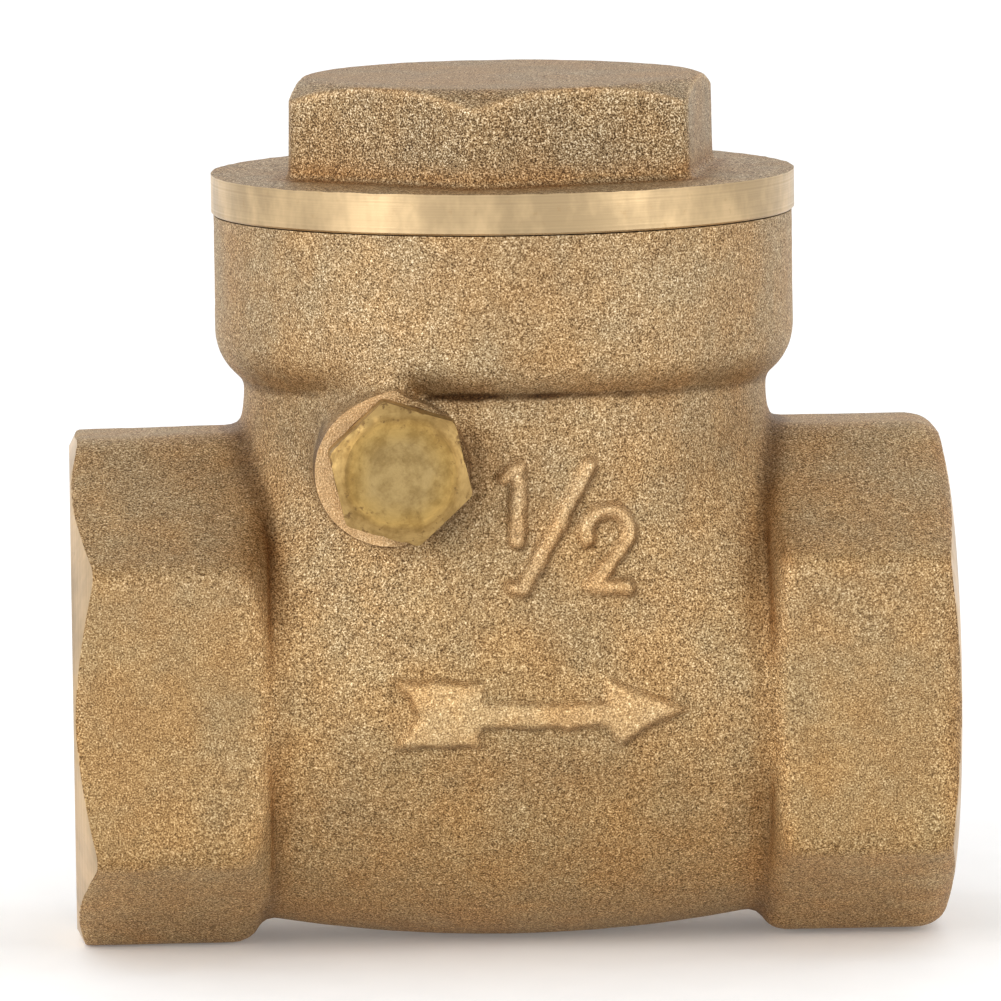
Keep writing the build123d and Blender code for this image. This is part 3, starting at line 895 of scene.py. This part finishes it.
def plug_finish(name):
    """The plug's worn brass: an olive middle with turning marks, a golden ring, and stains."""
    m = Finish(name)
    parts = m.split()
    wide = m.math("SUBTRACT", parts["X"], PIN_X * MM)
    high = m.math("SUBTRACT", parts["Z"], PIN_Z * MM)
    distance = m.math("SQRT", m.plus(m.times(high, high), m.times(wide, wide)))
    wander = m.times(m.noise(700, 2, 0.5), 0.0009)
    ring = m.times(m.plus(distance, wander), 200.0)
    colour = m.ramp(ring, [
        (0.40, (0.395, 0.275, 0.115)),
        (0.56, (0.400, 0.262, 0.088)),
        (0.64, (0.455, 0.290, 0.092)),
        (0.70, (0.330, 0.205, 0.068)),
        (0.75, (0.400, 0.262, 0.098)),
        (0.90, (0.370, 0.240, 0.092)),
    ])
    turn = m.math("ARCTAN2", high, wide)
    round_axis = m.add("ShaderNodeCombineXYZ", X=m.times(turn, 5.0), Y=m.times(distance, 7000.0))
    streaks = m.add(
        "ShaderNodeTexNoise", {"noise_dimensions": "2D"},
        Vector=round_axis.outputs["Vector"], Scale=1.0, Detail=3.0, Roughness=0.7,
    ).outputs["Fac"]
    colour = m.tinted(colour, m.ramp(streaks, [(0.35, 0.94), (0.68, 1.03)]))
    clouds = m.ramp(m.noise(900, 4, 0.65), [(0.40, (0.76, 0.72, 0.64)), (0.58, (1.08, 1.08, 1.06))])
    colour = m.tinted(colour, clouds)
    stain = m.ramp(m.noise(1700, 4, 0.7), [(0.57, 0.0), (0.66, 0.85)])
    stain = m.times(stain, m.ramp(ring, [(0.50, 0.25), (0.66, 1.0)]))
    colour = m.mix(stain, colour, (0.150, 0.082, 0.030))
    rough = m.ramp(streaks, [(0.3, 0.56), (0.7, 0.44)])
    normal = m.bump(streaks, 0.25, 0.00002)
    normal = m.bump(m.noise(2600, 3, 0.6), 0.25, 0.00003, normal)
    return m.finish(colour, 0.88, rough, normal)


def plain_finish(name, dark, light, metallic, rough, grain, depth):
    """A finish with a fine grain between two colours; depth is the grain's, in metres."""
    m = Finish(name)
    speck = m.noise(grain, 3, 0.6)
    colour = m.ramp(speck, [(0.32, dark), (0.68, light)])
    roughness = m.ramp(m.noise(grain * 0.4, 2, 0.5), [(0.3, rough + 0.08), (0.7, rough - 0.06)])
    return m.finish(colour, metallic, roughness, m.bump(speck, 0.4, depth))


cast_brass = cast_finish("cast_brass")
cap_brass = cast_finish("cast_brass_cap", tone=0.84, spread=0.74)
plain_cast_brass = cast_finish("cast_brass_small", marked=False)
turned_rim = turned_finish("turned_rim", (0.55, 0.395, 0.218), 9000, bonnet_height)
turned_brass = turned_finish("turned_brass", (0.58, 0.405, 0.225), 7000, flow_distance)
plug_brass = plug_finish("plug_brass")
steel = plain_finish(
    "pin_steel", (0.36, 0.36, 0.36), (0.56, 0.55, 0.54),
    metallic=1.0, rough=0.32, grain=2500, depth=0.00001,
)
rubber = plain_finish(
    "seat_rubber", (0.012, 0.012, 0.013), (0.035, 0.034, 0.034),
    metallic=0.0, rough=0.62, grain=3000, depth=0.00003,
)
fibre = plain_finish(
    "gasket_fibre", (0.20, 0.045, 0.02), (0.34, 0.09, 0.045),
    metallic=0.0, rough=0.8, grain=2600, depth=0.00004,
)


# ---- pieces ----
NET_MARGIN, BODY_HALF_DEPTH = 1.5, 17
body = cast_piece(
    "valve_body_cast", casting,
    (-END_X - NET_MARGIN, -BODY_HALF_DEPTH, -NET_MARGIN),
    (END_X + NET_MARGIN, BODY_HALF_DEPTH, COLLAR_TOP + NET_MARGIN),
    NET_STEP, seed=7, finer=((near_marks, 2), (near_creases, 1)), raised=relief_height,
)
machine_body(body)
finish_faces(body, body_machined, [cast_brass, turned_brass])
places = read_points(body.data)
# Painted shade, tinted browner, in the body's creases, from how enclosed each point is; none on the
# bosses' faces.
hollow = enclosure_shade(places, lambda p: casting(p, bosses=False))
store(body, "hollow", hollow * ~on_boss(places))
store(body, "crevice", body_crevice_shade(places))
store(body, "worn", body_worn(places))
# Lightening: a painted highlight, partly wear, on the marks' tops; the bosses' lighter faces on the
# inlet side; a painted highlight on the ends' inner edges.
raised = [
    MARK_LIGHT * relief_height(places) / RELIEF,
    on_boss(places) * boss_light(places),
    SHOULDER_LIGHT * shoulder_highlight(places),
]
store(body, "raised", np.max(raised, axis=0))
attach(body, "casing")
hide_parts("valve_body")


def near_rim(p):
    """Rougher metal where the flange's top meets its turned edge."""
    radial = np.hypot(p[:, 0], p[:, 1])
    return 0.02 * np.clip((radial - RIM_R + 1) / 0.8, 0, 1)


def machine_cap(cap):
    """The cap's turned skirt, thread, rim and hollow."""
    threads = thread_rows(
        CAP_BOTTOM + 0.5, RIM_BOTTOM - 0.9, CAP_THREAD_R - 0.82, CAP_THREAD_R, BONNET_PITCH,
        fade_start=0.4, fade_end=0.3,
    )
    skirt = [
        (CAP_BOTTOM, 0),
        (CAP_BOTTOM, CAP_THREAD_R - 0.9),
        (CAP_BOTTOM + 0.5, CAP_THREAD_R - 0.55),
        *threads,
        (RIM_BOTTOM - 0.6, CAP_THREAD_R - 0.85),
        (RIM_BOTTOM, CAP_THREAD_R - 0.85),
        (RIM_BOTTOM, RIM_R - 0.1),
        (RIM_BOTTOM + 0.1, RIM_R),
        (RIM_TOP + 2, RIM_R),
        (RIM_TOP + 2, RIM_R + 3),
        (CAP_BOTTOM - 3, RIM_R + 3),
        (CAP_BOTTOM - 3, 0),
    ]
    cut(cap, lathe("skirt", skirt, 160, about_bonnet))
    hollow = [
        (CAP_HOLLOW_TOP, 0),
        (CAP_HOLLOW_TOP, CAP_HOLLOW_R - 1.2),
        (CAP_HOLLOW_TOP - 0.35, CAP_HOLLOW_R - 0.35),
        (CAP_HOLLOW_TOP - 1.2, CAP_HOLLOW_R),
        (CAP_BOTTOM - 2, CAP_HOLLOW_R),
        (CAP_BOTTOM - 2, 0),
    ]
    cut(cap, lathe("hollow", hollow, 96, about_bonnet))


def cap_worn(p):
    """How bright the crown's edge and, less so, the foot of the hexagon are rubbed."""
    radial = np.hypot(p[:, 0], p[:, 1])
    crown = SIN_30 * (radial - CROWN_WEAR_R) + COS_30 * (p[:, 2] - CAP_TOP)
    angle = np.arctan2(p[:, 1], p[:, 0]) - CAP_TURN
    side = radial * np.cos(np.mod(angle + pi / 6, pi / 3) - pi / 6) - CAP_FLATS / 2
    edge = np.exp(-((np.hypot(crown + 0.05, side + 0.05) / 0.2) ** 2))
    foot = 0.45 * np.exp(-(((p[:, 2] - RIM_TOP - 0.8) / 0.5) ** 2)) * (radial < 13)
    return CROWN_LIGHT * np.maximum(edge, foot)


def cap_machined(p):
    """1 for the cap's faces that a tool has cut, 0 for those left as cast."""
    radial = np.hypot(p[:, 0], p[:, 1])
    inside = (radial < CAP_HOLLOW_R + 0.05) & (p[:, 2] < CAP_HOLLOW_TOP + 0.05)
    return np.where((cap_casting(p) > -0.3) | inside, 0, 1)


cap = cast_piece(
    "bonnet_cap_cast", cap_casting,
    (-RIM_R - 2, -RIM_R - 2, CAP_BOTTOM - 2), (RIM_R + 2, RIM_R + 2, CAP_TOP + 1),
    NET_STEP, seed=21, finer=((near_crown, 1),), rim=near_rim,
)
machine_cap(cap)
finish_faces(cap, cap_machined, [cap_brass, turned_rim])
places = read_points(cap.data)
# Painted shade on the top of the cap, added to its crease shade.
top_painted_shade = TOP_PAINTED_SHADE * (places[:, 2] > CAP_TOP - 0.2)
store(cap, "hollow", enclosure_shade(places, cap_casting) + top_painted_shade)
store(cap, "raised", cap_worn(places))
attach(cap, "bonnet")
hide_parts("bonnet_cap")


def plug_hexagon(angle):
    """The plug head's outline, its corners a little worn."""
    across = np.mod(angle - PLUG_TURN, pi / 3) - pi / 6
    return np.minimum(PLUG_FLATS / 2 / np.cos(across), PLUG_FLATS / sqrt(3) - 0.06)


def make_plug(name, side, seed):
    """A hinge plug, turned, with a hexagonal head whose edges are nicked and worn."""
    flat_r = PLUG_FLATS / 2 - PLUG_BEVEL
    face, ring_gap = PLUG_FACE - 0.02, 0.15
    rows = [(face, 0)]
    for radius in np.arange(ring_gap, flat_r, ring_gap):
        rows.append((face, radius))
    for share in np.linspace(0, 1, 6):
        def ring(angle, share=share):
            return flat_r + (plug_hexagon(angle) - flat_r) * share

        def drop(angle, ring=ring):
            return PLUG_FACE - PLUG_BEVEL_SLOPE * (ring(angle) - flat_r)
        rows.append((drop, ring))
    edge = rows[-1][0]
    for share in (0.06, 0.2, 0.5, 0.8, 0.96):
        def down(angle, share=share):
            return edge(angle) + (BOSS_FACE - edge(angle)) * share
        rows.append((down, plug_hexagon))
    rows.append((BOSS_FACE, lambda angle: plug_hexagon(angle) - 0.12))
    rows.append((BOSS_FACE, PLUG_THREAD_R))
    rows += thread_rows(
        BOSS_FACE - 0.6, PLUG_END + 0.4, PLUG_ROOT_R, PLUG_THREAD_R, PLUG_PITCH,
        fade_start=0.5, fade_end=0.4,
    )
    rows += [
        (PLUG_END, PLUG_ROOT_R - 0.1),
        (PLUG_END, PIN_SOCKET_R),
        (PLUG_END + PIN_SOCKET_DEPTH, PIN_SOCKET_R),
        (PLUG_END + PIN_SOCKET_DEPTH, 0),
    ]
    plug = lathe(name, rows, 144, about_pin(side))
    points = read_points(plug.data)
    middle = np.array([PIN_X, side * (BOSS_FACE + 0.8), PIN_Z])
    outwards = points - middle
    wide = np.hypot(outwards[:, 0], outwards[:, 2])
    edges = np.clip((wide - flat_r) / 0.5, 0, 1) * (side * points[:, 1] > BOSS_FACE + 0.1)
    nicks = np.maximum(lattice_noise(points, 0.45, seed) - 0.15, 0) * 0.16 + 0.02
    outwards /= np.linalg.norm(outwards, axis=1)[:, None]
    write_points(plug.data, points - outwards * (nicks * edges)[:, None])
    plug.data.materials.append(plug_brass)
    plug.data.polygons.foreach_set("use_smooth", np.ones(len(plug.data.polygons), bool))
    plug.data.set_sharp_from_angle(angle=radians(24))
    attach(plug, "casing")
    return plug


front_plug = make_plug("front_plug_turned", -1, 61)
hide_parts("front_hinge_plug")
rear_plug = make_plug("rear_plug_turned", 1, 62)
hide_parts("rear_hinge_plug")

NODE_FINISH = {
    "bonnet_gasket": fibre, "front_plug_seal": fibre, "rear_plug_seal": fibre,
    "hinge_pin": steel, "disc_hanger": plain_cast_brass, "disc_holder": turned_brass,
    "seat_disc": rubber, "seat_disc_washer": steel, "seat_disc_nut": steel,
    "hanger_washer": steel, "hanger_nut": steel,
}
for name, finish in NODE_FINISH.items():
    shown = frame["nodes"][name]
    for slot in shown.material_slots:
        slot.material = finish
    if not shown.material_slots:
        shown.data.materials.append(finish)


# ---- floor, light and camera ----
def stage_floor():
    """A pale floor that curves up behind the object; metres."""
    width, depth, bend, height, steps = 1.6, 1.0, 0.35, 1.1, 12
    outline = [(-1.2, 0.0), (depth - bend, 0.0)]
    for i in range(1, steps + 1):
        turn = pi / 2 * i / steps
        outline.append((depth - bend + bend * sin(turn), bend - bend * cos(turn)))
    outline.append((depth, height))
    points = [(side * width, y, z) for y, z in outline for side in (-1, 1)]
    faces = [(2 * i, 2 * i + 1, 2 * i + 3, 2 * i + 2) for i in range(len(outline) - 1)]
    floor = new_piece("studio_floor", np.array(points) / MM, faces)
    floor.data.polygons.foreach_set("use_smooth", np.ones(len(faces), bool))
    m = Finish("studio_paper")
    paper = m.ramp(m.noise(300, 3, 0.5), [(0.3, 0.90), (0.7, 0.94)])
    glow = {"Emission_Color": (1, 1, 1, 1), "Emission_Strength": 0.12}
    grain = m.bump(m.noise(2000), 0.1, 0.0001)
    floor.data.materials.append(m.finish(paper, 0.0, 0.9, grain, **glow))


def lamp(name, place, target, power):
    """A soft rectangular lamp at place, aimed at target; metres and watts."""
    data = bpy.data.lights.new(name, "AREA")
    data.shape, data.size, data.size_y = "RECTANGLE", 0.4, 0.5
    data.energy = power
    made = bpy.data.objects.new(name, data)
    made.location = place
    made.rotation_euler = (Vector(target) - Vector(place)).to_track_quat("-Z", "Y").to_euler()
    bpy.context.scene.collection.objects.link(made)


def studio():
    """The floor, two soft lamps, and an even white world."""
    stage_floor()
    centre = (0, 0, 0.022)
    lamp("left", (-0.78, -0.62, 0.36), centre, 4.2)
    lamp("right", (0.80, -0.60, 0.28), centre, 2.4)
    world = bpy.data.worlds.new("studio")
    world.use_nodes = True
    background = world.node_tree.nodes["Background"]
    background.inputs["Color"].default_value = (1, 1, 1, 1)
    background.inputs["Strength"].default_value = 0.92
    bpy.context.scene.world = world
    view = bpy.context.scene.view_settings
    view.view_transform, view.look = "Standard", "None"
    view.exposure, view.gamma = 0.0, 1.0


def camera():
    """The main viewpoint: a long lens, a little to the left and above."""
    place = Vector((-23.554, -528.944, 87.567)) * MM
    target = Vector((-0.307, 0.0, 24.002)) * MM
    forward = (target - place).normalized()
    right = forward.cross(Vector((0, 0, 1))).normalized()
    up = right.cross(forward)
    roll = radians(-0.674)
    tilted_right = right * cos(roll) + up * sin(roll)
    tilted_up = -right * sin(roll) + up * cos(roll)
    data = bpy.data.cameras.new("camera")
    data.sensor_width, data.lens = 36.0, 348.14
    data.clip_start, data.clip_end = 0.01, 10.0
    made = bpy.data.objects.new("camera", data)
    turn = Matrix((tilted_right, tilted_up, -forward)).transposed()
    made.matrix_world = Matrix.Translation(place) @ turn.to_4x4()
    bpy.context.scene.collection.objects.link(made)
    bpy.context.scene.camera = made


studio()
camera()
bpy.context.scene.cycles.use_denoising = True
